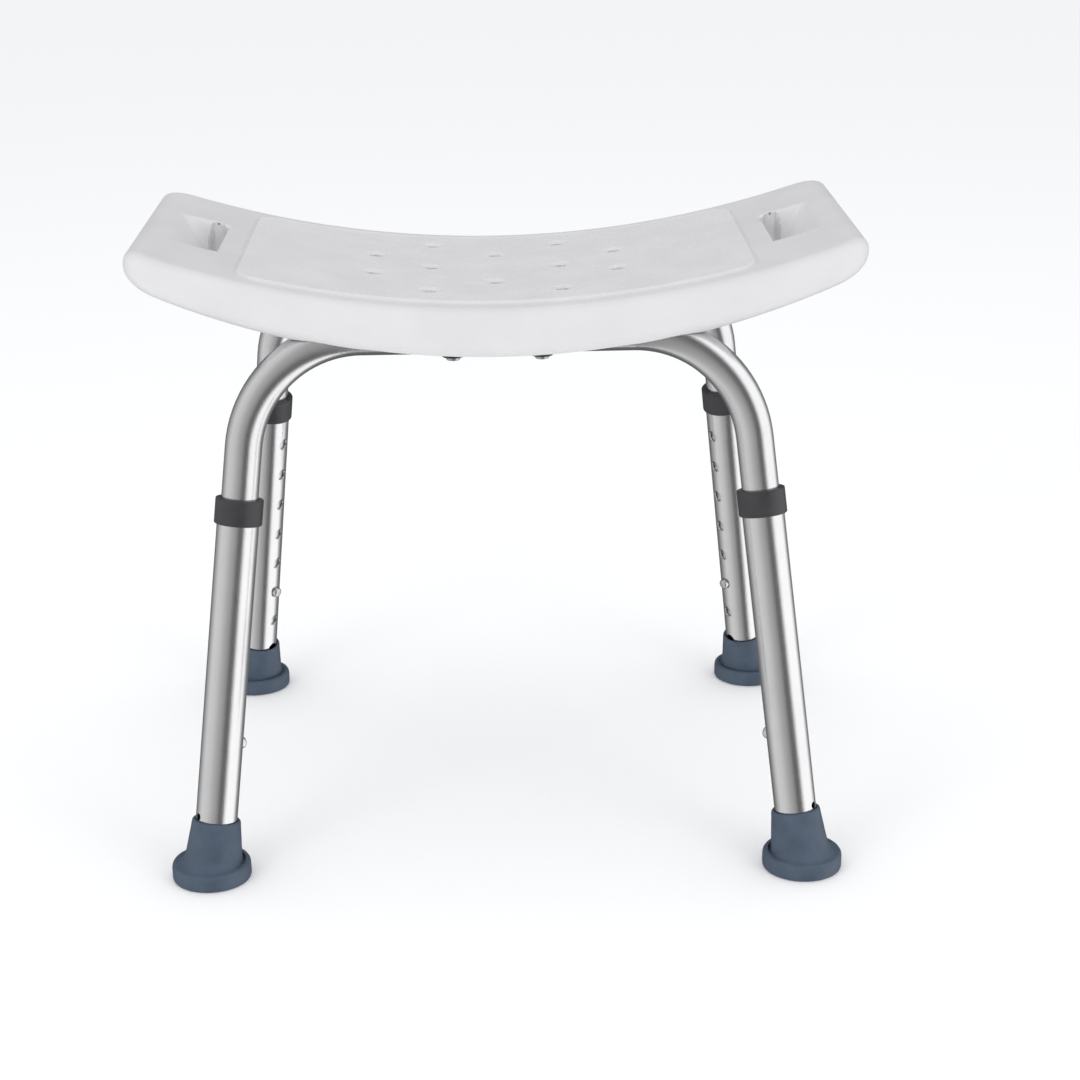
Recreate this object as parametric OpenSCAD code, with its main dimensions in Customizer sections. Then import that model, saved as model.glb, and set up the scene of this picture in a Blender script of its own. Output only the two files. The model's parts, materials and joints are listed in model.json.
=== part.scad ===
// Height-adjustable shower stool: a curved blow-moulded seat on two bent aluminium frames,
// with four telescopic legs that lock on spring buttons. Millimetres, +Z up.
// The origin is on the floor under the middle of the seat. Front is -Y and left is -X.

/* [Seat] */
// Length of the seat between its two ends
seat_l = 500; // [420:10:620]
// Depth of the seat at its middle, front to rear
seat_d = 260; // [250:5:320]
// Thickness of the seat at its middle
seat_t = 34.5; // [33:0.5:46]
// Height of the seat's upper face at its middle, without the raised panel
seat_height = 389.5; // [360:0.5:480]
// Radius of the hollow upper face, seen from the front
seat_top_r = 730; // [660:10:900]
// Radius of the underside, seen from the front
seat_bottom_r = 588; // [570:1:640]
// Wall of the hollow seat moulding
seat_wall = 3; // [2.5:0.5:3.5]
// Rounding of the seat's long edges and ends
seat_edge_r = 10; // [6:1:10]
// Rounding of the seat's four corners, seen from above
seat_corner_r = 24; // [12:1:30]
// How far each long edge bows out at its middle
edge_bow = 7; // [4:1:12]
// Plastic left between a frame tube's groove and the long edge, at the seat's middle
groove_edge = 5; // [4:0.5:12]
// Plastic left between a frame tube's groove and the upper face, at the seat's middle
groove_roof = 6.5; // [6.5:0.5:9]

/* [Raised panel] */
// Length of the raised panel
panel_l = 352; // [300:2:360]
// Depth of the raised panel at its middle
panel_d = 212; // [190:2:220]
// Height of the raised panel above the upper face
panel_rise = 1.2; // [0.6:0.1:2]
// Rounding of the panel's corners
panel_corner_r = 15; // [8:1:25]

/* [Drain holes] */
// Diameter of each drain hole
drain_d = 11; // [8:0.5:13]
// Diameter of the dish round each drain hole
drain_dish_d = 16; // [14:0.5:18]
// Depth of the dish round each drain hole
drain_dish_t = 2; // [1:0.5:3]
// Distance from the middle to the columns of three holes
drain_near_x = 46; // [40:1:52]
// Distance from the middle to the outer columns of two holes
drain_far_x = 86; // [80:1:95]
// Spacing of the holes in a column of three
drain_pitch_three = 73; // [66:1:76]
// Spacing of the two holes in the middle column
drain_pitch_middle = 88; // [80:1:92]
// Spacing of the two holes in an outer column
drain_pitch_outer = 58; // [50:1:70]

/* [Hand grips] */
// Length of each hand grip, front to rear
grip_l = 90; // [75:1:100]
// Width of each hand grip at the upper face
grip_w = 36; // [30:1:42]
// Width of the slot that goes right through at the bottom of the grip
grip_slot_w = 16; // [12:1:20]
// Distance from the seat's end to the grip
grip_from_end = 21; // [18:1:28]
// Rounding of the grip's corners
grip_corner_r = 9; // [5:1:12]

/* [Frames] */
// Outer diameter of the two bent frame tubes
frame_od = 25.4; // [22:0.1:28]
// Wall of the frame tubes
frame_wall = 1.2; // [1:0.1:1.5]
// Radius of each frame bend, to the tube's centre line
bend_r = 82; // [70:1:90]
// Distance from the middle to the centre of each bend
bend_x = 92; // [84:1:100]
// How much slimmer a frame tube is round its bends and down its legs than along its run
bend_slim = 0.02; // [0.02:0.01:0.1]
// Angle by which each frame leans outwards, front and rear
lean = 9.5; // [6:0.5:12]
// Angle by which each leg splays sideways, within its frame
splay = 6.2; // [3:0.1:9]

/* [Legs] */
// Wall of the lower leg tubes
leg_wall = 1.4; // [1:0.1:1.5]
// Length of the lower leg tubes
leg_tube_l = 253.5; // [240:0.5:255]
// Number of adjusting holes in each leg
hole_count = 8; // [6:1:8]
// Distance between two adjusting holes
hole_pitch = 27; // [22:0.5:28]
// Distance from the leg tube's upper end to the first hole
first_hole_drop = 35.5; // [32:0.5:45]
// Hole that the button stands in, counted from the top
set_hole = 6; // [4:1:6]
// Diameter of the small drain hole at the foot of each leg tube
leg_drain_d = 5; // [3:0.5:6]
// Angle of the buttons from the seat's long direction
pin_azimuth = 35; // [20:1:50]

/* [Collars] */
// Wall of the collar round each leg tube
collar_wall = 2; // [1.5:0.1:3]
// Height of the collar, its lip included
collar_h = 18; // [15:0.5:26]
// Thickness of the lip that closes on the frame tube
collar_lip = 3; // [2:0.5:4]

/* [Buttons] */
// Diameter of the spring button
button_d = 8; // [6:0.1:8.2]
// How far the button stands out of the leg tube
button_out = 3.6; // [2:0.1:5]
// Length of frame tube below the button
frame_tail = 34; // [28:1:40]
// Thickness of the button's leaf spring
spring_t = 0.8; // [0.6:0.1:1]
// Width of the button's leaf spring
spring_w = 7; // [5:0.5:8]
// Length of the leaf spring above the button
spring_rise = 34; // [26:1:40]

/* [Feet] */
// Diameter of the rubber foot's base
foot_d = 55; // [48:1:68]
// Height of the rubber foot's base
foot_base_h = 12; // [10:0.5:15]
// Wall of the rubber cup at its top
cup_wall = 2.5; // [2:0.1:4]
// How much the cup's wall thickens from its top down to its base
cup_flare = 3.25; // [1:0.25:5]
// Height of the rubber foot along the leg
foot_h = 44; // [38:1:50]
// Rubber under the steel washer in the foot
pad_t = 10; // [8:0.5:12]
// Thickness of the steel washer in the foot
foot_washer_t = 2; // [1:0.5:3]
// Hole in the middle of the steel washer
foot_washer_hole = 8; // [4:1:12]
// Depth of the tread grooves in the sole
tread_t = 1.5; // [1:0.5:2.5]
// Width of each tread groove
tread_w = 2.5; // [2:0.5:3.5]

/* [Fasteners] */
// Distance from the middle to each seat screw, along the seat
screw_x = 30; // [22:1:40]
// Thread diameter of the seat screws
screw_d = 5; // [4:0.5:6]
// Head diameter of the seat screws
screw_head_d = 9.5; // [8:0.5:11]
// Head height of the seat screws
screw_head_h = 2.5; // [2:0.1:3.5]
// Wall of the brass inserts
insert_wall = 1; // [0.8:0.1:1.5]
// Length of the brass inserts
insert_l = 5; // [4:0.5:5.5]
// Outer diameter of the saddle washers under the frame tubes
saddle_d = 15; // [13:0.5:18]
// Thickness of the saddle washers under the tube
saddle_t = 2; // [1.5:0.5:3]

/* [Clearances] */
// Gap all round a frame tube in its seat groove
groove_clear = 0.3; // [0.2:0.1:0.6]
// Gap between a frame tube and the leg tube round it
tube_clear = 0.4; // [0.3:0.1:0.6]
// Gap between a collar's lip and the frame tube
slide_clear = 0.3; // [0.2:0.1:0.5]
// Gap round pieces that are pushed together
push_fit = 0.05; // [0.02:0.01:0.1]
// Gap round a screw in a plain hole
screw_clear = 0.3; // [0.2:0.1:0.5]
// Gap round a button in the frame tube
button_clear = 0.3; // [0.2:0.1:0.4]
// Gap round a button in a leg tube's adjusting hole
hole_clear = 0.5; // [0.3:0.1:0.8]

/* [Hidden] */
$fn = 96;
LEGS = [["front_left", -1, -1], ["front_right", 1, -1], ["rear_left", -1, 1], ["rear_right", 1, 1]];

plastic = [0.90, 0.90, 0.91];
aluminium = [0.78, 0.79, 0.80];
steel = [0.62, 0.63, 0.65];
brass = [0.80, 0.66, 0.34];
dark_plastic = [0.16, 0.16, 0.18];
rubber = [0.27, 0.35, 0.43];

far = 100;          // reach of cutters that run past a face
nib = 0.01;         // overlap of a cutter with the cut that it continues
cross = 0.02;       // how far a corner's rounding crosses the curved edge that it runs into

// Seat: centres of its two curved faces, and its rounding where the ends are thinnest
top_centre_z = seat_height + seat_top_r;
bottom_centre_z = seat_height - seat_t + seat_bottom_r;
end_t = arc_z(seat_top_r, top_centre_z, seat_l / 2) - arc_z(seat_bottom_r, bottom_centre_z, seat_l / 2);
edge_r = min(seat_edge_r, floor(10 * (end_t / 2 - 1)) / 10);
bow_r = (pow(seat_l / 2, 2) + pow(edge_bow, 2)) / (2 * edge_bow);
sweep = 2 * asin(seat_l / 2 / seat_bottom_r) + 8;

// Frames: each run lies straight under the seat, then turns down round each bend
frame_r = frame_od / 2;
frame_bore_r = frame_r - frame_wall;
frame_gap = seat_d - 2 * (groove_edge + groove_clear + frame_r);
run_z = seat_height - groove_roof - groove_clear - frame_r;
leg_end_x = bend_x + bend_r * cos(splay);
leg_end_z = bend_r * sin(splay) - bend_r;
leg_l = (run_z + leg_end_z * cos(lean)) / (cos(splay) * cos(lean));
bend_lap = 0.5;
groove_r = frame_r + groove_clear;
slot_r = frame_r + groove_clear / 2;
groove_l = 2 * bend_x + 1.2 * bend_r;

// Legs, measured along each leg from the floor
leg_bore_r = frame_r + tube_clear;
leg_r = leg_bore_r + leg_wall;
collar_r = leg_r + collar_wall;
cup_top_r = leg_r + cup_wall;
cup_base_r = cup_top_r + cup_flare;
hole_d = button_d + 2 * hole_clear;
leg_bottom = pad_t + foot_washer_t;
leg_top = leg_bottom + leg_tube_l;
pin_s = leg_top - first_hole_drop - (set_hole - 1) * hole_pitch;
foot_x = leg_end_x + leg_l * sin(splay);
foot_y = frame_gap / 2 + (leg_l * cos(splay) - leg_end_z) * sin(lean);

// Buttons and their springs
leaf_out = sqrt(pow(frame_bore_r - push_fit, 2) - pow(spring_w / 2, 2));
button_tip = leg_r + button_out;
button_round = button_d / 4;
spring_foot = frame_tail / 3;
spring_bend_r = 2.5;

// Screws, measured along each screw from the frame tube's centre line
insert_d = screw_d + 2 * insert_wall;
insert_bottom = groove_r + 0.4;
insert_top = insert_bottom + insert_l;
head_z = -frame_r - saddle_t;
boss_wall = 2.5;

// Height of a curved face at a distance from the middle
function arc_z(r, centre_z, x) = centre_z - sqrt(r * r - x * x);

// Direction of a leg's holes and button, inwards and towards the middle of the stool
function pin_angle(ix, iy) = ix < 0 ? -iy * pin_azimuth : 180 + iy * pin_azimuth;

// Places its children on the centre line of a frame's run, in the plane of that frame
module on_frame(iy) {
    translate([0, iy * frame_gap / 2, run_z]) rotate([iy * lean, 0, 0]) children();
}

// Places its children on a leg: the origin is on the floor and +Z runs up the leg
module on_leg(ix, iy) {
    on_frame(iy) translate([ix * leg_end_x, 0, leg_end_z]) rotate([0, -ix * splay, 0])
        translate([0, 0, -leg_l]) children();
}

// Places its children at a leg's button, with +X pointing out through the hole
module at_button(ix, iy) {
    on_leg(ix, iy) translate([0, 0, pin_s]) rotate([0, 0, pin_angle(ix, iy)]) children();
}

// Places its children on the upright axis of each seat screw, level with its frame tube
module at_screws(iys = [-1, 1]) {
    for (iy = iys) for (ix = [-1, 1])
        on_frame(iy) translate([ix * screw_x, 0, 0]) rotate([-iy * lean, 0, 0]) children();
}

// Places its children on the seat's upper face, with +Z square to it
module on_seat(x, y) {
    translate([0, y, top_centre_z]) rotate([0, -asin(x / seat_top_r), 0]) translate([0, 0, -seat_top_r])
        children();
}

// Turns a profile of radius and depth about the axis of one of the seat's curved faces
module about_face(centre_z) {
    translate([0, 0, centre_z]) rotate([90, 0, 0]) rotate([0, 0, -90 - sweep / 2])
        rotate_extrude(angle = sweep, $fn = 180) children();
}

// Everything under the seat's upper face, with rounded long edges; inset leaves the wall
module under_top(inset) {
    r = max(edge_r - inset, 2);
    half = seat_d / 2 - inset;
    about_face(top_centre_z) translate([seat_top_r + inset, 0]) {
        translate([r, -half]) square([far, 2 * half]);
        translate([0, r - half]) square([2 * r, 2 * (half - r)]);
        for (side = [-1, 1]) translate([r, side * (half - r)]) circle(r = r);
    }
}

// Everything over the seat's underside, with rounded long edges; inset leaves the wall
module over_bottom(inset) {
    r = max(edge_r - inset, 2);
    half = seat_d / 2 - inset;
    about_face(bottom_centre_z) translate([seat_bottom_r - inset, 0]) {
        translate([-far, -half]) square([far - r, 2 * half]);
        translate([-2 * r, r - half]) square([2 * r, 2 * (half - r)]);
        for (side = [-1, 1]) translate([-r, side * (half - r)]) circle(r = r);
    }
}

// Outline with bowed long edges and rounded corners, seen from above
module plan(l, d, corner, bow_radius) {
    half = d / 2;
    centre_x = l / 2 - corner;
    centre_y = half - bow_radius + sqrt(pow(bow_radius - corner + cross, 2) - pow(centre_x, 2));
    touch_x = centre_x * bow_radius / (bow_radius - corner);
    intersection() {
        union() {
            square([2 * touch_x, d], center = true);
            square([l, 2 * centre_y], center = true);
            for (x = [-1, 1]) for (y = [-1, 1]) translate([x * centre_x, y * centre_y]) circle(r = corner);
        }
        translate([0, half - bow_radius]) circle(r = bow_radius, $fn = 720);
        translate([0, bow_radius - half]) circle(r = bow_radius, $fn = 720);
    }
}

// Rounded end of the seat, seen from the front
module end_profile(inset) {
    r = max(edge_r - inset, 2);
    end_x = seat_l / 2 - inset;
    top_r = seat_top_r + inset;
    bottom_r = seat_bottom_r - inset;
    cx = end_x - r;
    top_z = arc_z(top_r + r, top_centre_z, cx);
    bottom_z = arc_z(bottom_r - r, bottom_centre_z, cx);
    top_touch_x = cx * top_r / (top_r + r);
    bottom_touch_x = cx * bottom_r / (bottom_r - r);
    for (side = [0, 1]) mirror([side, 0]) {
        polygon([
            [0, seat_height - far], [bottom_touch_x, seat_height - far],
            [bottom_touch_x, arc_z(bottom_r, bottom_centre_z, bottom_touch_x)],
            [cx, bottom_z], [end_x, bottom_z], [end_x, top_z], [cx, top_z],
            [top_touch_x, arc_z(top_r, top_centre_z, top_touch_x)],
            [top_touch_x, seat_height + far], [0, seat_height + far]
        ]);
        translate([cx, top_z]) circle(r = r);
        translate([cx, bottom_z]) circle(r = r);
    }
}

// The seat's outer shape, or the space inside its wall
module seat_shape(inset) {
    intersection() {
        under_top(inset);
        over_bottom(inset);
        translate([0, 0, seat_height - far]) linear_extrude(2 * far)
            plan(seat_l - 2 * inset, seat_d - 2 * inset, seat_corner_r - inset, bow_r - inset);
        rotate([90, 0, 0]) translate([0, 0, -seat_d]) linear_extrude(2 * seat_d) end_profile(inset);
    }
}

// Raised panel, with its upper face parallel to the seat's
module panel() {
    intersection() {
        about_face(top_centre_z) translate([seat_top_r - panel_rise, -seat_d / 2])
            square([panel_rise + seat_wall / 2, seat_d]);
        translate([0, 0, seat_height - far]) linear_extrude(2 * far)
            plan(panel_l, panel_d, panel_corner_r, bow_r);
    }
}

// Groove for one frame tube, open downwards along the frame's plane; grow adds the wall round it
module groove(iy, grow) {
    on_frame(iy) {
        rotate([0, 90, 0]) cylinder(r = groove_r + grow, h = groove_l + 2 * grow, center = true);
        translate([-groove_l / 2 - grow, -slot_r - grow, -far])
            cube([groove_l + 2 * grow, 2 * (slot_r + grow), far]);
    }
}

// Hand grip: a scoop that slopes inwards to a slot, cut in the seat; grow adds the wall round it
module grip(ix, grow) {
    outer = seat_l / 2 - grip_from_end;
    inner = outer - grip_w;
    top_z = arc_z(seat_top_r, top_centre_z, outer);
    bottom_z = arc_z(seat_bottom_r, bottom_centre_z, inner);
    corner = grip_corner_r + grow;
    mirror([ix < 0 ? 1 : 0, 0, 0]) intersection() {
        rotate([90, 0, 0]) linear_extrude(2 * grip_l, center = true) polygon([
            [inner - grow, top_z + far], [inner - grow, bottom_z - far],
            [inner + grip_slot_w + grow, bottom_z - far], [inner + grip_slot_w + grow, bottom_z],
            [outer + grow, top_z], [outer + grow, top_z + far]
        ]);
        translate([inner - grow, -grip_l / 2 - grow, seat_height - far]) linear_extrude(2 * far) {
            translate([corner, 0]) square([grip_w + 2 * grow - 2 * corner, grip_l + 2 * grow]);
            translate([0, corner]) square([grip_w + 2 * grow, grip_l + 2 * grow - 2 * corner]);
            for (x = [corner, grip_w + 2 * grow - corner]) for (y = [corner, grip_l + 2 * grow - corner])
                translate([x, y]) circle(r = corner);
        }
    }
}

// Places its children at each of the twelve drain holes
module at_drains() {
    for (y = [-1, 1] * drain_pitch_middle / 2) on_seat(0, y) children();
    for (x = [-1, 1] * drain_near_x) for (y = [-1, 0, 1] * drain_pitch_three) on_seat(x, y) children();
    for (x = [-1, 1] * drain_far_x) for (y = [-1, 1] * drain_pitch_outer / 2) on_seat(x, y) children();
}

module seat() {
    color(plastic) difference() {
        union() {
            seat_shape(0);
            panel();
        }
        difference() {
            seat_shape(seat_wall);
            for (iy = [-1, 1]) groove(iy, seat_wall);
            for (ix = [-1, 1]) grip(ix, seat_wall);
            at_drains() translate([0, 0, -far]) cylinder(d = drain_d + 2 * seat_wall, h = 2 * far);
            at_screws() translate([0, 0, frame_r]) cylinder(d = insert_d + 2 * boss_wall, h = far);
        }
        for (iy = [-1, 1]) groove(iy, 0);
        for (ix = [-1, 1]) grip(ix, 0);
        at_drains() {
            translate([0, 0, -far]) cylinder(d = drain_d, h = 2 * far);
            translate([0, 0, -drain_dish_t])
                cylinder(d1 = drain_d, d2 = drain_dish_d, h = drain_dish_t + panel_rise + nib);
        }
        at_screws() cylinder(d = insert_d + 2 * push_fit, h = insert_top + push_fit);
    }
}

module seat_inserts() {
    color(brass) at_screws() translate([0, 0, insert_bottom]) difference() {
        cylinder(d = insert_d, h = insert_l);
        translate([0, 0, -nib]) cylinder(d = screw_d, h = insert_l + 2 * nib);
    }
}

module seat_screws() {
    slot_w = screw_d / 5;
    color(steel) at_screws() {
        translate([0, 0, head_z - nib]) cylinder(d = screw_d - 2 * push_fit, h = insert_top - head_z);
        translate([0, 0, head_z - screw_head_h]) difference() {
            rotate_extrude() {
                square([screw_head_d / 2 - screw_head_h / 3, screw_head_h]);
                translate([0, screw_head_h / 3]) square([screw_head_d / 2, screw_head_h * 2 / 3]);
                translate([screw_head_d / 2 - screw_head_h / 3, screw_head_h / 3])
                    circle(r = screw_head_h / 3);
            }
            for (turn = [0, 90]) rotate([0, 0, turn])
                cube([screw_head_d * 0.6, slot_w, screw_head_h], center = true);
        }
    }
}

module saddle_washers() {
    color(dark_plastic) at_screws() difference() {
        translate([0, 0, head_z]) cylinder(d = saddle_d, h = frame_r + saddle_t - frame_r * 0.75);
        rotate([0, 90, 0]) cylinder(r = frame_r + push_fit, h = saddle_d * 2, center = true);
        translate([0, 0, head_z - nib]) cylinder(d = screw_d + 2 * screw_clear, h = frame_r);
    }
}

// Bend at the right-hand end of a frame's run and the leg below it; extra lengthens the leg
module bend_and_leg(r, extra) {
    translate([bend_x, 0, -bend_r]) rotate([90, 0, 0]) rotate([0, 0, splay]) {
        rotate_extrude(angle = 90 - splay, $fn = 180) translate([bend_r, 0]) circle(r = r, $fn = 64);
        translate([bend_r, 0, 0]) rotate([90, 0, 0])
            cylinder(r = r, h = leg_l - pin_s + frame_tail + extra, $fn = 64);
    }
}

// A frame's whole tube as a solid bar; its run laps over the start of each bend
module frame_bar(r, extra) {
    rotate([0, 90, 0]) cylinder(r = r + bend_slim, h = 2 * (bend_x + bend_lap), center = true, $fn = 64);
    for (side = [0, 1]) mirror([side, 0, 0]) bend_and_leg(r, extra);
}

module frame_tube(iy) {
    color(aluminium) difference() {
        on_frame(iy) difference() {
            frame_bar(frame_r, 0);
            frame_bar(frame_bore_r, 1);
        }
        for (ix = [-1, 1]) at_button(ix, iy)
            rotate([0, 90, 0]) cylinder(d = button_d + 2 * button_clear, h = frame_od);
        at_screws([iy]) cylinder(d = screw_d + 2 * screw_clear, h = 2 * frame_od, center = true);
    }
}

module leg_tube(ix, iy) {
    color(aluminium) difference() {
        on_leg(ix, iy) translate([0, 0, leg_bottom]) difference() {
            cylinder(r = leg_r, h = leg_tube_l);
            translate([0, 0, -nib]) cylinder(r = leg_bore_r, h = leg_tube_l + 2 * nib);
        }
        for (hole = [1 : hole_count]) at_button(ix, iy)
            translate([0, 0, (set_hole - hole) * hole_pitch]) rotate([0, 90, 0])
                cylinder(d = hole_d, h = 2 * leg_r);
        at_button(ix, iy) translate([0, 0, foot_h - pin_s])
            rotate([0, -90, 0]) cylinder(d = leg_drain_d, h = 2 * leg_r);
    }
}

module collar(ix, iy) {
    round_r = 1;
    bottom = collar_lip - collar_h;
    color(dark_plastic) on_leg(ix, iy) translate([0, 0, leg_top]) difference() {
        rotate_extrude() {
            translate([0, bottom + round_r]) square([collar_r, collar_h - 2 * round_r]);
            translate([0, bottom]) square([collar_r - round_r, collar_h]);
            for (y = [bottom + round_r, collar_lip - round_r])
                translate([collar_r - round_r, y]) circle(r = round_r, $fn = 32);
        }
        translate([0, 0, -collar_h]) cylinder(r = leg_r + push_fit, h = collar_h);
        cylinder(r = frame_r + slide_clear, h = 2 * collar_h, center = true);
    }
}

module foot(ix, iy) {
    edge = 1.5;
    cup_start = foot_base_h * 2 / 3;
    shoulder = 1.5;
    color(rubber) difference() {
        union() {
            translate([ix * foot_x, iy * foot_y, 0]) rotate_extrude() polygon([
                [0, 0], [foot_d / 2 - edge, 0], [foot_d / 2, edge], [foot_d / 2, foot_base_h - edge],
                [foot_d / 2 - edge, foot_base_h], [cup_base_r, foot_base_h + shoulder],
                [0, foot_base_h + shoulder]
            ]);
            on_leg(ix, iy) translate([0, 0, cup_start])
                cylinder(r1 = cup_base_r, r2 = cup_top_r, h = foot_h - cup_start);
        }
        on_leg(ix, iy) translate([0, 0, pad_t]) cylinder(r = leg_r + push_fit, h = foot_h);
        for (r = [foot_d / 6, foot_d / 3]) translate([ix * foot_x, iy * foot_y, -nib])
            rotate_extrude() translate([r, 0]) square([tread_w, tread_t]);
    }
}

module foot_washer(ix, iy) {
    color(steel) on_leg(ix, iy) translate([0, 0, pad_t]) difference() {
        cylinder(r = leg_r, h = foot_washer_t);
        translate([0, 0, -nib]) cylinder(d = foot_washer_hole, h = foot_washer_t + 2 * nib);
    }
}

module button(ix, iy) {
    color(steel) at_button(ix, iy) rotate([0, 90, 0]) rotate_extrude() {
        translate([0, leaf_out]) square([button_d / 2, button_tip - button_round - leaf_out]);
        translate([0, leaf_out]) square([button_d / 2 - button_round, button_tip - leaf_out]);
        translate([button_d / 2 - button_round, button_tip - button_round])
            circle(r = button_round, $fn = 48);
    }
}

// Folded leaf spring: one leaf carries the button and the other presses on the far wall
module button_spring(ix, iy) {
    color(steel) at_button(ix, iy) rotate([90, 0, 0]) linear_extrude(spring_w, center = true)
        difference() {
            spring_outline(0, 0);
            spring_outline(spring_t, far);
        }
}

// Outline of the folded spring; inset leaves the leaf, and extra lengthens its open end
module spring_outline(inset, extra) {
    wide = leaf_out - inset;
    narrow = spring_bend_r - inset;
    polygon([
        [-wide, -spring_foot - extra], [wide, -spring_foot - extra], [wide, spring_foot],
        [narrow, spring_rise], [-narrow, spring_rise], [-wide, spring_foot]
    ]);
    translate([0, spring_rise]) circle(r = narrow);
}

seat();
seat_inserts();
seat_screws();
saddle_washers();
frame_tube(-1);  // front_frame_tube
frame_tube(1);  // rear_frame_tube
for (leg = LEGS) {
    leg_tube(leg[1], leg[2]);
    collar(leg[1], leg[2]);
    foot(leg[1], leg[2]);
    foot_washer(leg[1], leg[2]);
    button(leg[1], leg[2]);
    button_spring(leg[1], leg[2]);
}
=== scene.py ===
import json
import math

import bmesh
import bpy
import numpy as np
from mathutils import Matrix, Vector


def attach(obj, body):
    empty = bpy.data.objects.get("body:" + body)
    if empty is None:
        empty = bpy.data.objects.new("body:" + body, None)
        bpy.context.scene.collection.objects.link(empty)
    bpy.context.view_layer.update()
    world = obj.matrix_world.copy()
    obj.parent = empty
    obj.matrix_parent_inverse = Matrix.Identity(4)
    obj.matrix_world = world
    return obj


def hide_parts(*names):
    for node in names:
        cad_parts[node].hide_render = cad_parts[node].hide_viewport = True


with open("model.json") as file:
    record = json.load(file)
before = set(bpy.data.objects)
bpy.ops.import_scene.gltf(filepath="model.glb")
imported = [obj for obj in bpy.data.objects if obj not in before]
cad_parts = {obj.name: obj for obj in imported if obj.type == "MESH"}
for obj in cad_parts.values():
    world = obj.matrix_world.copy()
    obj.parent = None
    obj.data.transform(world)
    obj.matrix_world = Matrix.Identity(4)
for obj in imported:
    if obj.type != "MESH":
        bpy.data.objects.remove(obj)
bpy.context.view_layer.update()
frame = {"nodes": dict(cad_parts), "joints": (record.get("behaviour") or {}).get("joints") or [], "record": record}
NODES = frame["nodes"]
MM = 0.001
LEGS = ("front_left", "front_right", "rear_left", "rear_right")

# ---------------------------------------------------------------- camera
PHOTO = 1080.0


def make_camera():
    data = bpy.data.cameras.new("camera")
    cam = bpy.data.objects.new("camera", data)
    bpy.context.scene.collection.objects.link(cam)
    pitch, yaw, roll = (math.radians(a) for a in (19.27, -0.024, -1.091))
    look = Vector((math.sin(yaw) * math.cos(pitch), math.cos(yaw) * math.cos(pitch), -math.sin(pitch)))
    right = Vector((math.cos(yaw), -math.sin(yaw), 0))
    up = right.cross(look)
    right_r = right * math.cos(roll) + up * math.sin(roll)
    up_r = -right * math.sin(roll) + up * math.cos(roll)
    turn = Matrix((right_r, up_r, -look)).transposed()
    cam.matrix_world = Matrix.Translation((-0.0059, -1.6328, 0.7524)) @ turn.to_4x4()
    data.sensor_fit = "HORIZONTAL"
    data.sensor_width = 36.0
    data.lens = 36.0 * 2319.9 / PHOTO
    data.shift_x = (PHOTO / 2 - 491.5) / PHOTO
    data.shift_y = (543.4 - PHOTO / 2) / PHOTO
    data.clip_end = 60.0
    bpy.context.scene.camera = cam


make_camera()


# ---------------------------------------------------------------- materials
def new_material(name):
    mat = bpy.data.materials.new(name)
    mat.use_nodes = True
    tree = mat.node_tree
    tree.nodes.clear()
    out = tree.nodes.new("ShaderNodeOutputMaterial")
    bsdf = tree.nodes.new("ShaderNodeBsdfPrincipled")
    tree.links.new(bsdf.outputs[0], out.inputs[0])
    return mat, tree, bsdf


def add(tree, kind, **values):
    """New shader node of a kind, with its settings."""
    node = tree.nodes.new("ShaderNode" + kind)
    for key, value in values.items():
        setattr(node, key, value)
    return node


def coordinates(tree, scale=(1, 1, 1), turn=(0, 0, 0)):
    place = add(tree, "TexCoord")
    mapping = add(tree, "Mapping")
    mapping.inputs["Scale"].default_value = scale
    mapping.inputs["Rotation"].default_value = turn
    tree.links.new(place.outputs["Object"], mapping.inputs["Vector"])
    return mapping.outputs[0]


def noise(tree, vector, scale, detail=2.0, rough=0.5):
    node = add(tree, "TexNoise")
    node.inputs["Scale"].default_value = scale
    node.inputs["Detail"].default_value = detail
    node.inputs["Roughness"].default_value = rough
    tree.links.new(vector, node.inputs["Vector"])
    return node.outputs[0]


def ramp(tree, value, stops):
    node = add(tree, "ValToRGB")
    while len(node.color_ramp.elements) < len(stops):
        node.color_ramp.elements.new(0.5)
    for element, (place, colour) in zip(node.color_ramp.elements, stops):
        element.position = place
        element.color = (*colour, 1) if isinstance(colour, tuple) else (colour, colour, colour, 1)
    tree.links.new(value, node.inputs[0])
    return node.outputs[0]


def remap(tree, value, low, high, to_low, to_high):
    node = add(tree, "MapRange")
    for index, number in enumerate((low, high, to_low, to_high)):
        node.inputs[index + 1].default_value = number
    tree.links.new(value, node.inputs[0])
    return node.outputs[0]


def bump(tree, height, strength, distance, below=None):
    node = add(tree, "Bump")
    node.inputs["Distance"].default_value = distance
    if isinstance(strength, float):
        node.inputs["Strength"].default_value = strength
    else:
        tree.links.new(strength, node.inputs["Strength"])
    tree.links.new(height, node.inputs["Height"])
    if below is not None:
        tree.links.new(below, node.inputs["Normal"])
    return node.outputs[0]


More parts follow.
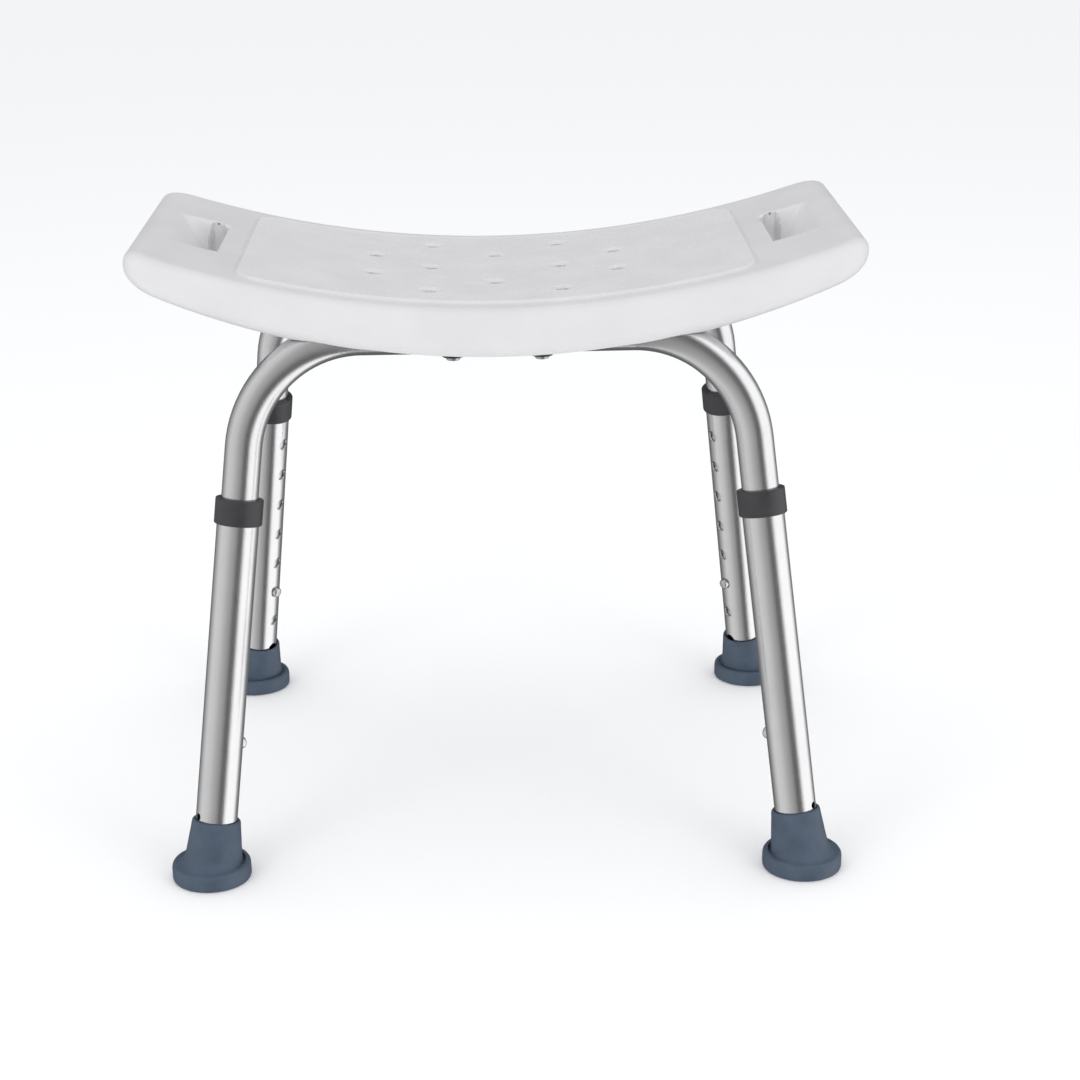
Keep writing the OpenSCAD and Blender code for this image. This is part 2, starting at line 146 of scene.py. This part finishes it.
def seat_plastic():
    mat, tree, bsdf = new_material("seat_plastic")
    vector = coordinates(tree)
    mask = add(tree, "Attribute", attribute_name="pebble").outputs["Fac"]
    cells = add(tree, "TexVoronoi", feature="SMOOTH_F1")
    cells.inputs["Scale"].default_value = 520.0
    cells.inputs["Smoothness"].default_value = 0.6
    tree.links.new(vector, cells.inputs["Vector"])
    fine = noise(tree, vector, 900.0, 3.0, 0.6)
    soft = noise(tree, vector, 28.0, 2.0, 0.5)
    colour = ramp(tree, soft, [(0.35, (0.672, 0.664, 0.670)), (0.65, (0.692, 0.684, 0.690))])
    tree.links.new(colour, bsdf.inputs["Base Color"])
    gloss = remap(tree, mask, 0.0, 1.0, 0.34, 0.50)
    spread = add(tree, "Math", operation="MULTIPLY_ADD")
    tree.links.new(soft, spread.inputs[0])
    spread.inputs[1].default_value = 0.12
    tree.links.new(gloss, spread.inputs[2])
    tree.links.new(spread.outputs[0], bsdf.inputs["Roughness"])
    pebble = remap(tree, mask, 0.0, 1.0, 0.05, 0.75)
    first = bump(tree, cells.outputs["Distance"], pebble, 0.0006)
    second = bump(tree, fine, 0.12, 0.0003, first)
    tree.links.new(second, bsdf.inputs["Normal"])
    bsdf.inputs["Subsurface Weight"].default_value = 0.15
    bsdf.inputs["Subsurface Radius"].default_value = (0.004, 0.004, 0.0045)
    bsdf.inputs["Subsurface Scale"].default_value = 1.0
    bsdf.inputs["Specular IOR Level"].default_value = 0.45
    return mat


def aluminium(name, tone, rough, turn=(0, 0, 0)):
    mat, tree, bsdf = new_material(name)
    along = coordinates(tree, (1, 1, 0.02), turn)
    plain = coordinates(tree)
    streak = noise(tree, along, 1400.0, 2.0, 0.6)
    grain = noise(tree, plain, 2600.0, 2.0, 0.6)
    cloud = noise(tree, plain, 30.0, 3.0, 0.6)
    colour = ramp(tree, cloud, [(0.3, tuple(t * 0.95 for t in tone)), (0.7, tone)])
    tree.links.new(colour, bsdf.inputs["Base Color"])
    bsdf.inputs["Metallic"].default_value = 1.0
    tree.links.new(remap(tree, streak, 0.3, 0.7, rough - 0.03, rough + 0.05), bsdf.inputs["Roughness"])
    first = bump(tree, streak, 0.18, 0.0002)
    second = bump(tree, grain, 0.30, 0.0001, first)
    tree.links.new(second, bsdf.inputs["Normal"])
    return mat


def moulded(name, dark, light, rough, grain_scale, grain_depth, gloss=0.5):
    mat, tree, bsdf = new_material(name)
    vector = coordinates(tree)
    cloud = noise(tree, vector, 70.0, 4.0, 0.6)
    grain = noise(tree, vector, grain_scale, 3.0, 0.6)
    tree.links.new(ramp(tree, cloud, [(0.3, dark), (0.7, light)]), bsdf.inputs["Base Color"])
    tree.links.new(remap(tree, cloud, 0.3, 0.7, rough - 0.06, rough + 0.06), bsdf.inputs["Roughness"])
    tree.links.new(bump(tree, grain, 0.35, grain_depth), bsdf.inputs["Normal"])
    bsdf.inputs["Specular IOR Level"].default_value = gloss
    return mat


def metal(name, tone, rough):
    mat, tree, bsdf = new_material(name)
    vector = coordinates(tree)
    grain = noise(tree, vector, 1500.0, 3.0, 0.6)
    cloud = noise(tree, vector, 200.0, 3.0, 0.6)
    colour = ramp(tree, cloud, [(0.3, tuple(t * 0.9 for t in tone)), (0.7, tone)])
    tree.links.new(colour, bsdf.inputs["Base Color"])
    bsdf.inputs["Metallic"].default_value = 1.0
    tree.links.new(remap(tree, cloud, 0.3, 0.7, rough - 0.04, rough + 0.06), bsdf.inputs["Roughness"])
    tree.links.new(bump(tree, grain, 0.1, 0.00005), bsdf.inputs["Normal"])
    return mat


MATS = {
    "seat_plastic": seat_plastic(),
    "frame_aluminium": aluminium("frame_aluminium", (0.80, 0.80, 0.81), 0.20),
    "leg_aluminium": aluminium("leg_aluminium", (0.82, 0.82, 0.83), 0.19),
    "dark_plastic": moulded(
        "dark_plastic", (0.030, 0.030, 0.034), (0.042, 0.042, 0.047), 0.42, 900.0, 0.0002),
    "rubber": moulded(
        "rubber", (0.052, 0.076, 0.112), (0.072, 0.100, 0.142), 0.50, 500.0, 0.0005, 0.45),
    "button_steel": metal("button_steel", (0.72, 0.72, 0.73), 0.16),
    "spring_steel": metal("spring_steel", (0.45, 0.45, 0.47), 0.35),
    "steel": metal("steel", (0.60, 0.61, 0.62), 0.30),
    "brass": metal("brass", (0.78, 0.60, 0.28), 0.32),
}
for entry in frame["record"]["subparts"]:
    mesh = NODES[entry["node"]].data
    mesh.materials.clear()
    mesh.materials.append(MATS[entry["material_slot"]])


# ---------------------------------------------------------------- seat
# Sizes in mm. The underside is drawn 1 mm lower than the CAD seat's, to hide more of the screw heads.
HALF_L, HALF_D, HEIGHT, SEAT_T = 250.0, 130.0, 389.5, 35.5
TOP_R, BOTTOM_R = 730.0, 588.0
PANEL_L, PANEL_D, PANEL_R, PANEL_RISE = 176.0, 106.0, 15.0, 1.2
GRIP_OUT, GRIP_IN, SLOT_OUT, GRIP_Y = 229.0, 193.0, 209.0, 45.0
FRAME_Y, FRAME_R, BEND_X, BEND_R, LEAN = 112.0, 12.7, 92.0, 82.0, math.radians(9.5)
GROOVE_ROOF, GROOVE_CLEAR = 6.5, 0.3
HOLE_R, DISH_R = 5.5, 8.2
HOLE_LEAN = SEAT_T / TOP_R
EDGE_TOP, EDGE_BOTTOM, CORNER = 14.0, 11.0, 24.0
BOW = 7.0


def drain_centres():
    found = [(0.0, y) for y in (-44.0, 44.0)]
    found += [(x, y) for x in (-46.0, 46.0) for y in (-73.0, 0.0, 73.0)]
    found += [(x, y) for x in (-86.0, 86.0) for y in (-29.0, 29.0)]
    return found


def grid_lines(half, base, hot):
    """Places along one axis from -half to half: spaced base apart, and finer within each hot zone."""
    places, at = [0.0], 0.0
    while at < half:
        step = min([base] + [fine for low, high, fine in hot if low - fine <= at <= high])
        at += step
        places.append(min(at, half))
    if places[-1] - places[-2] < 0.3:
        places.pop(-2)
    side = np.array(places[1:])
    return np.concatenate([-side[::-1], [0.0], side])


def roll_edge(w, r):
    """Inset from the outline and drop from the face, for a distance w along the rounded edge."""
    arc = r * math.pi / 2
    beta = np.clip(w / r, 0, math.pi / 2)
    inset = np.where(w < arc, r * (1 - np.cos(beta)), r + w - arc)
    drop = np.where(w < arc, r * (1 - np.sin(beta)), 0.0)
    return inset, drop


def smooth(t):
    t = np.clip(t, 0, 1)
    return t * t * (3 - 2 * t)


def outline_point(x, y, inset, length, depth):
    """Moves points of a rectangle onto rings with rounded corners, each at its inset from the edge."""
    from_x, from_y = length - np.abs(x), depth - np.abs(y)
    corner = np.maximum(CORNER - inset, 0.01)
    along = np.abs(from_x - from_y)
    bend = along < corner
    angle = math.pi / 4 * (1 - along / corner)
    near_end = from_x < from_y
    cx, cy = length - inset - corner, depth - inset - corner
    turn = np.where(near_end, angle, math.pi / 2 - angle)
    px = np.where(bend, cx + corner * np.cos(turn), length - np.where(near_end, inset, from_x))
    py = np.where(bend, cy + corner * np.sin(turn), depth - np.where(near_end, from_y, inset))
    return px * np.sign(x), py * np.sign(y)


def sheet_plan(gx, gy, r):
    """Plan places and edge drop of one face of the seat, for grid lines that run to its outline."""
    extra = r * (math.pi / 2 - 1)
    x, y = np.meshgrid(gx, gy, indexing="ij")
    half_x, half_y = gx[-1], gy[-1]
    far_x, far_y = half_x - np.abs(x), half_y - np.abs(y)
    inset, drop = roll_edge(np.minimum(far_x, far_y), r)
    along_x = np.where(far_x <= far_y, inset, np.maximum(far_x - extra, inset))
    along_y = np.where(far_y < far_x, inset, np.maximum(far_y - extra, inset))
    from_middle_x = np.sign(x) * (HALF_L - along_x)
    from_middle_y = np.sign(y) * (HALF_D - along_y)
    px, py = outline_point(from_middle_x, from_middle_y, inset, HALF_L, HALF_D)
    py = py * (1 - BOW / HALF_D * (px / HALF_L) ** 2)
    drop = drop * (1 - 0.15 * smooth((np.abs(px) - 130) / 110))
    return px, py, drop


def panel_height(x, y):
    """Height of the raised panel at each place, and how far outside its edge the place lies."""
    depth = PANEL_D - 4.5 * (x / PANEL_L) ** 2
    qx, qy = np.abs(x) - (PANEL_L - PANEL_R), np.abs(y) - (depth - PANEL_R)
    outside = np.hypot(np.maximum(qx, 0), np.maximum(qy, 0)) + np.minimum(np.maximum(qx, qy), 0) - PANEL_R
    bead = 0.55 * np.exp(-((outside + 1.4) / 1.1) ** 2)
    ditch = -0.35 * np.exp(-((outside - 1.3) / 1.2) ** 2)
    return PANEL_RISE * smooth((0.9 - outside) / 2.2) + bead + ditch, outside


def slot_distance(x, y):
    """Distance to the edge of a grip's slot, which is negative inside it."""
    mid, half = (GRIP_IN + SLOT_OUT) / 2, (SLOT_OUT - GRIP_IN) / 2
    r = 7.0
    qx, qy = np.abs(np.abs(x) - mid) - (half - r), np.abs(y) - (GRIP_Y - r)
    return np.hypot(np.maximum(qx, 0), np.maximum(qy, 0)) + np.minimum(np.maximum(qx, qy), 0) - r


def build_seat():
    hot_x = [(0, 96, 1.3), (172.5, 179.5, 0.55), (188, 232, 1.0), (191.5, 195.5, 0.6), (235, 262, 1.6)]
    hot_y = [(0, 84, 1.3), (41, 49, 0.7), (100, 109, 0.6), (111, 150, 1.0)]
    extra = EDGE_TOP * (math.pi / 2 - 1)
    gx = grid_lines(HALF_L + extra, 2.0, hot_x)
    gy = grid_lines(HALF_D + extra, 1.8, hot_y)
    nx, ny = len(gx), len(gy)

    px, py, drop = sheet_plan(gx, gy, EDGE_TOP)
    # the lower face uses the same lines, drawn in to its own smaller edge
    squeeze = EDGE_BOTTOM * (math.pi / 2 - 1) - extra
    lower_x = gx + np.sign(gx) * squeeze * smooth((np.abs(gx) - 200) / (HALF_L + extra - 200))
    lower_y = gy + np.sign(gy) * squeeze * smooth((np.abs(gy) - 90) / (HALF_D + extra - 90))
    bx, by, rise = sheet_plan(lower_x, lower_y, EDGE_BOTTOM)

    face = HEIGHT + TOP_R - np.sqrt(TOP_R ** 2 - px ** 2)
    under_of = lambda x: HEIGHT - SEAT_T + BOTTOM_R - np.sqrt(BOTTOM_R ** 2 - x ** 2)
    panel, outside = panel_height(px, py)
    top = face + panel - drop
    # holes stand square to the upper face, so they come out a little further from the middle below
    bx = bx * (1 + HOLE_LEAN * (1 - smooth((np.abs(bx) - 100) / 80)))
    bottom = under_of(bx) + rise

    hole = np.zeros((nx, ny), bool)
    for cx, cy in drain_centres():
        dx, dy = px - cx, py - cy
        reach = np.hypot(dx, dy)
        near = reach < DISH_R + 3
        dish = 1.9 * smooth((DISH_R - reach) / (DISH_R - HOLE_R)) ** 0.8
        lip = 0.28 * np.exp(-((reach - DISH_R - 0.6) / 0.9) ** 2)
        top = np.where(near, top - dish + lip, top)
        inside = reach < HOLE_R + 0.35
        rim = near & (reach < HOLE_R + 0.75) & (reach > 0.5)
        scale = np.where(rim & (reach > HOLE_R - 1.5), HOLE_R / np.maximum(reach, 0.1), 1.0)
        px = np.where(rim, cx + dx * scale, px)
        py = np.where(rim, cy + dy * scale, py)
        bcx = cx * (1 + HOLE_LEAN)
        bdx, bdy = bx - bcx, by - cy
        breach = np.maximum(np.hypot(bdx, bdy), 0.1)
        bscale = np.where(rim & (reach > HOLE_R - 1.5), HOLE_R / breach, 1.0)
        bx = np.where(rim, bcx + bdx * bscale, bx)
        by = np.where(rim, cy + bdy * bscale, by)
        hole |= inside

    # hand grips: a scoop that slopes down from its outer end to a slot through the seat
    away = slot_distance(px, py)
    depth_here = face - under_of(px) - 1.2
    run = np.clip((GRIP_OUT - np.abs(px)) / (GRIP_OUT - SLOT_OUT), 0, 1)
    slope = np.where(np.abs(px) > GRIP_IN, depth_here * run ** 1.5, 0)
    front = smooth((GRIP_Y - np.abs(py)) / np.where(py < 0, 1.6, 11.0))
    top = top - slope * front
    soften = np.where(py > 30, 3.5, 1.1)
    lip = np.clip(1 - away / soften, 0, 1)
    rounded = soften * (1 - np.sqrt(np.maximum(1 - lip ** 2, 0)))
    top = top - np.where((away > 0) & (np.abs(px) < SLOT_OUT), rounded, 0)
    gap = away < -0.15
    for plan_x, plan_y in ((px, py), (bx, by)):
        d = slot_distance(plan_x, plan_y)
        fix = np.abs(d) < 0.9
        step = 0.05
        normal_x = (slot_distance(plan_x + step, plan_y) - slot_distance(plan_x - step, plan_y)) / (2 * step)
        normal_y = (slot_distance(plan_x, plan_y + step) - slot_distance(plan_x, plan_y - step)) / (2 * step)
        plan_x[fix] -= (d * normal_x)[fix]
        plan_y[fix] -= (d * normal_y)[fix]

    # grooves for the frame tubes, which lean outwards and leave the seat round their bends
    run_z = HEIGHT - GROOVE_ROOF - GROOVE_CLEAR - FRAME_R
    past = np.clip(np.abs(bx) - BEND_X, 0, BEND_R * 0.98)
    axis_z = run_z - BEND_R + np.sqrt(BEND_R ** 2 - past ** 2)
    steep = np.sqrt(BEND_R ** 2 - past ** 2) / BEND_R
    reach = FRAME_R + 0.5
    off = np.abs(by) - FRAME_Y - (run_z - axis_z) * math.tan(LEAN)
    crown = axis_z + np.sqrt(np.maximum(reach ** 2 - off ** 2, 0)) / np.maximum(steep, 0.25)
    slant = axis_z - (off - reach) / math.tan(LEAN)
    groove = np.where(np.abs(off) < reach, crown, np.where((off >= reach) & (off < reach + 8), slant, -1e3))
    groove = np.where(np.abs(bx) < 152, groove, -1e3)
    bottom = np.maximum(bottom, np.minimum(groove, bottom + 30))

    cells = np.zeros((nx - 1, ny - 1), bool)
    for mask in (hole, gap):
        cells |= mask[:-1, :-1] & mask[1:, :-1] & mask[:-1, 1:] & mask[1:, 1:]
    count = nx * ny
    index = np.arange(count).reshape(nx, ny)
    keep = ~cells
    a, b, c, d = (index[:-1, :-1][keep], index[1:, :-1][keep], index[1:, 1:][keep], index[:-1, 1:][keep])
    faces = [np.stack([a, b, c, d], 1), np.stack([a, d, c, b], 1) + count]

    # walls: round the outline, and round each hole
    padded = np.ones((nx + 1, ny + 1), bool)
    padded[1:-1, 1:-1] = cells
    edges = []
    for i, j in zip(*np.nonzero(padded[:-1, 1:-1] != padded[1:, 1:-1])):
        first, second = index[i, j], index[i, j + 1]
        edges.append((first, second) if padded[i, j + 1] else (second, first))
    for i, j in zip(*np.nonzero(padded[1:-1, :-1] != padded[1:-1, 1:])):
        first, second = index[i, j], index[i + 1, j]
        edges.append((second, first) if padded[i + 1, j] else (first, second))
    edges = np.array(edges)
    walls = np.stack([edges[:, 0], edges[:, 1], edges[:, 1] + count, edges[:, 0] + count], 1)
    verts = np.concatenate([
        np.stack([px.ravel(), py.ravel(), top.ravel()], 1),
        np.stack([bx.ravel(), by.ravel(), bottom.ravel()], 1)]) * MM
    faces = np.concatenate(faces + [walls])

    mesh = bpy.data.meshes.new("seat_shell")
    mesh.from_pydata(verts.tolist(), [], faces.tolist())
    mask = smooth((0.5 - outside) / 1.5)
    mask = np.where(away < 3, 0, mask) * 1.0
    outer_top = 0.22 * (drop < 0.5) * (1 - mask) * (away > 4)
    values = np.concatenate([(mask + outer_top).ravel(), np.full(count, 0.1)]).astype(np.float32)
    mesh.attributes.new("pebble", "FLOAT", "POINT").data.foreach_set("value", values)
    piece = bpy.data.objects.new("seat_shell", mesh)
    bpy.context.scene.collection.objects.link(piece)
    clean = bmesh.new()
    clean.from_mesh(mesh)
    loose = [v for v in clean.verts if not v.link_faces]
    bmesh.ops.delete(clean, geom=loose, context="VERTS")
    bmesh.ops.recalc_face_normals(clean, faces=clean.faces)
    clean.to_mesh(mesh)
    clean.free()
    mesh.polygons.foreach_set("use_smooth", [True] * len(mesh.polygons))
    mesh.set_sharp_from_angle(angle=math.radians(50))
    mesh.materials.append(MATS["seat_plastic"])
    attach(piece, "stool")
    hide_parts("seat")


build_seat()


# ---------------------------------------------------------------- rubber feet
# Rings from the sole up and over the cup's rim: radius and height in mm, and share of the leg's lean
FOOT_RINGS = [
    (0.0, 0.0, 0), (9.1, 0.0, 0), (9.3, 1.4, 0), (11.5, 1.4, 0), (11.7, 0.0, 0), (18.3, 0.0, 0),
    (18.5, 1.4, 0), (20.6, 1.4, 0), (20.8, 0.0, 0), (26.0, 0.0, 0), (27.0, 0.5, 0), (27.4, 1.5, 0),
    (27.5, 3.0, 0), (27.5, 8.6, 0), (27.2, 10.3, 0), (26.5, 11.4, 0), (25.4, 11.9, 0), (23.8, 11.9, 0),
    (22.6, 11.5, 0.5), (21.2, 11.9, 0.8), (20.3, 13.4, 1), (19.8, 16.0, 1), (19.0, 22.0, 1),
    (18.1, 30.0, 1), (17.3, 36.6, 1), (17.1, 39.2, 1), (16.8, 40.4, 1), (16.2, 41.1, 1), (15.5, 41.3, 1),
    (14.9, 40.9, 1), (14.6, 40.2, 1), (14.6, 10.1, 1), (0.0, 10.1, 1)]


def foot_axis(leg):
    """Where a leg's axis meets the floor, and the direction up the leg."""
    axis = next(j["axis"] for j in frame["joints"] if j["name"] == leg + "_leg_slide")
    mount = next(m["pos_m"] for m in frame["record"]["mounts"] if m["name"] == leg + "_sole")
    return Vector(mount), -Vector(axis).normalized()


def build_foot(leg, segments=96):
    """Rubber foot: an upright base that turns into a cup leaning with its leg."""
    name = leg + "_foot"
    origin, lean = foot_axis(leg)
    verts, faces = [], []
    for radius, height, share in FOOT_RINGS:
        axis = Vector((0, 0, 1)).lerp(lean, share).normalized()
        side = (Vector((1, 0, 0)) - axis * axis.x).normalized()
        other = axis.cross(side)
        for k in range(segments):
            angle = 2 * math.pi * k / segments
            out = side * math.cos(angle) + other * math.sin(angle)
            verts.append(origin + (axis * height + out * radius) * MM)
    for i in range(len(FOOT_RINGS) - 1):
        for k in range(segments):
            after = (k + 1) % segments
            faces.append((i * segments + k, i * segments + after, (i + 1) * segments + after,
                          (i + 1) * segments + k))
    mesh = bpy.data.meshes.new(name + "_turned")
    mesh.from_pydata(verts, [], faces)
    clean = bmesh.new()
    clean.from_mesh(mesh)
    bmesh.ops.remove_doubles(clean, verts=clean.verts, dist=1e-6)
    bmesh.ops.recalc_face_normals(clean, faces=clean.faces)
    clean.to_mesh(mesh)
    clean.free()
    mesh.polygons.foreach_set("use_smooth", [True] * len(mesh.polygons))
    mesh.set_sharp_from_angle(angle=math.radians(40))
    mesh.materials.append(MATS["rubber"])
    piece = bpy.data.objects.new(name + "_turned", mesh)
    bpy.context.scene.collection.objects.link(piece)
    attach(piece, leg + "_leg")
    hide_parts(name)


for leg in LEGS:
    build_foot(leg)


# ---------------------------------------------------------------- floor and lights
def make_floor():
    mesh = bpy.data.meshes.new("floor")
    mesh.from_pydata([(-15, -15, 0), (15, -15, 0), (15, 15, 0), (-15, 15, 0)], [], [(0, 1, 2, 3)])
    floor = bpy.data.objects.new("floor", mesh)
    bpy.context.scene.collection.objects.link(floor)
    mat, tree, bsdf = new_material("floor_pale")
    bsdf.inputs["Base Color"].default_value = (0.985, 0.985, 0.985, 1)
    bsdf.inputs["Roughness"].default_value = 0.9
    bsdf.inputs["Specular IOR Level"].default_value = 0.0
    # mirror-like rays pass through, so that the metal reflects the studio and not one flat white
    path = add(tree, "LightPath")
    clear = add(tree, "BsdfTransparent")
    mix = add(tree, "MixShader")
    tree.links.new(path.outputs["Is Glossy Ray"], mix.inputs[0])
    tree.links.new(bsdf.outputs[0], mix.inputs[1])
    tree.links.new(clear.outputs[0], mix.inputs[2])
    out = next(n for n in tree.nodes if n.type == "OUTPUT_MATERIAL")
    tree.links.new(mix.outputs[0], out.inputs[0])
    mesh.materials.append(mat)


def softbox(name, place, aim, size, power):
    data = bpy.data.lights.new(name, "AREA")
    data.shape = "RECTANGLE"
    data.size, data.size_y = size
    data.energy = power
    lamp = bpy.data.objects.new(name, data)
    bpy.context.scene.collection.objects.link(lamp)
    lamp.location = place
    lamp.rotation_euler = (Vector(aim) - Vector(place)).to_track_quat("-Z", "Y").to_euler()
    lamp.visible_camera = False
    lamp.visible_glossy = False


make_floor()
softbox("left_front", (-1.3, -1.6, 0.9), (0, 0, 0.3), (0.9, 1.4), 7)
softbox("right_front", (1.4, -1.5, 0.8), (0, 0, 0.25), (0.9, 1.4), 6)
softbox("overhead", (0, 0.1, 2.4), (0, 0, 0.3), (2.6, 2.6), 7)


def make_studio():
    """Even light all round; for mirror-like rays a studio with bright and dark panels by direction."""
    scene = bpy.context.scene
    world = bpy.data.worlds.new("studio")
    scene.world = world
    world.use_nodes = True
    tree = world.node_tree
    background = next(n for n in tree.nodes if n.type == "BACKGROUND")
    place = add(tree, "TexCoord")
    split = add(tree, "SeparateXYZ")
    tree.links.new(place.outputs["Generated"], split.inputs[0])
    front = add(tree, "Math", operation="MULTIPLY")
    front.inputs[1].default_value = -1.0
    tree.links.new(split.outputs["Y"], front.inputs[0])
    angle = add(tree, "Math", operation="ARCTAN2")
    tree.links.new(split.outputs["X"], angle.inputs[0])
    tree.links.new(front.outputs[0], angle.inputs[1])
    turn = remap(tree, angle.outputs[0], -math.pi, math.pi, 0.0, 1.0)
    # 0.5 faces the front; lower is to the left and higher to the right
    panels = ramp(tree, turn, [
        (0.00, 0.10), (0.10, 0.14), (0.16, 0.30), (0.26, 0.62), (0.36, 0.55), (0.44, 0.38), (0.50, 0.28),
        (0.535, 0.12), (0.590, 0.12), (0.640, 1.0), (0.79, 1.0), (0.83, 0.50), (0.87, 0.18), (1.00, 0.10)])
    path = add(tree, "LightPath")
    tone = add(tree, "Mix", data_type="RGBA")
    plain = next(i for i in tone.inputs if i.type == "RGBA")
    plain.default_value = (0.97, 0.98, 1.0, 1)
    tree.links.new(path.outputs["Is Glossy Ray"], tone.inputs["Factor"])
    tree.links.new(panels, [i for i in tone.inputs if i.type == "RGBA"][1])
    tree.links.new([o for o in tone.outputs if o.type == "RGBA"][0], background.inputs["Color"])
    level = remap(tree, path.outputs["Is Glossy Ray"], 0.0, 1.0, 0.93, 1.2)
    tree.links.new(level, background.inputs["Strength"])


make_studio()
scene = bpy.context.scene
scene.view_settings.view_transform = "Standard"
scene.view_settings.look = "None"
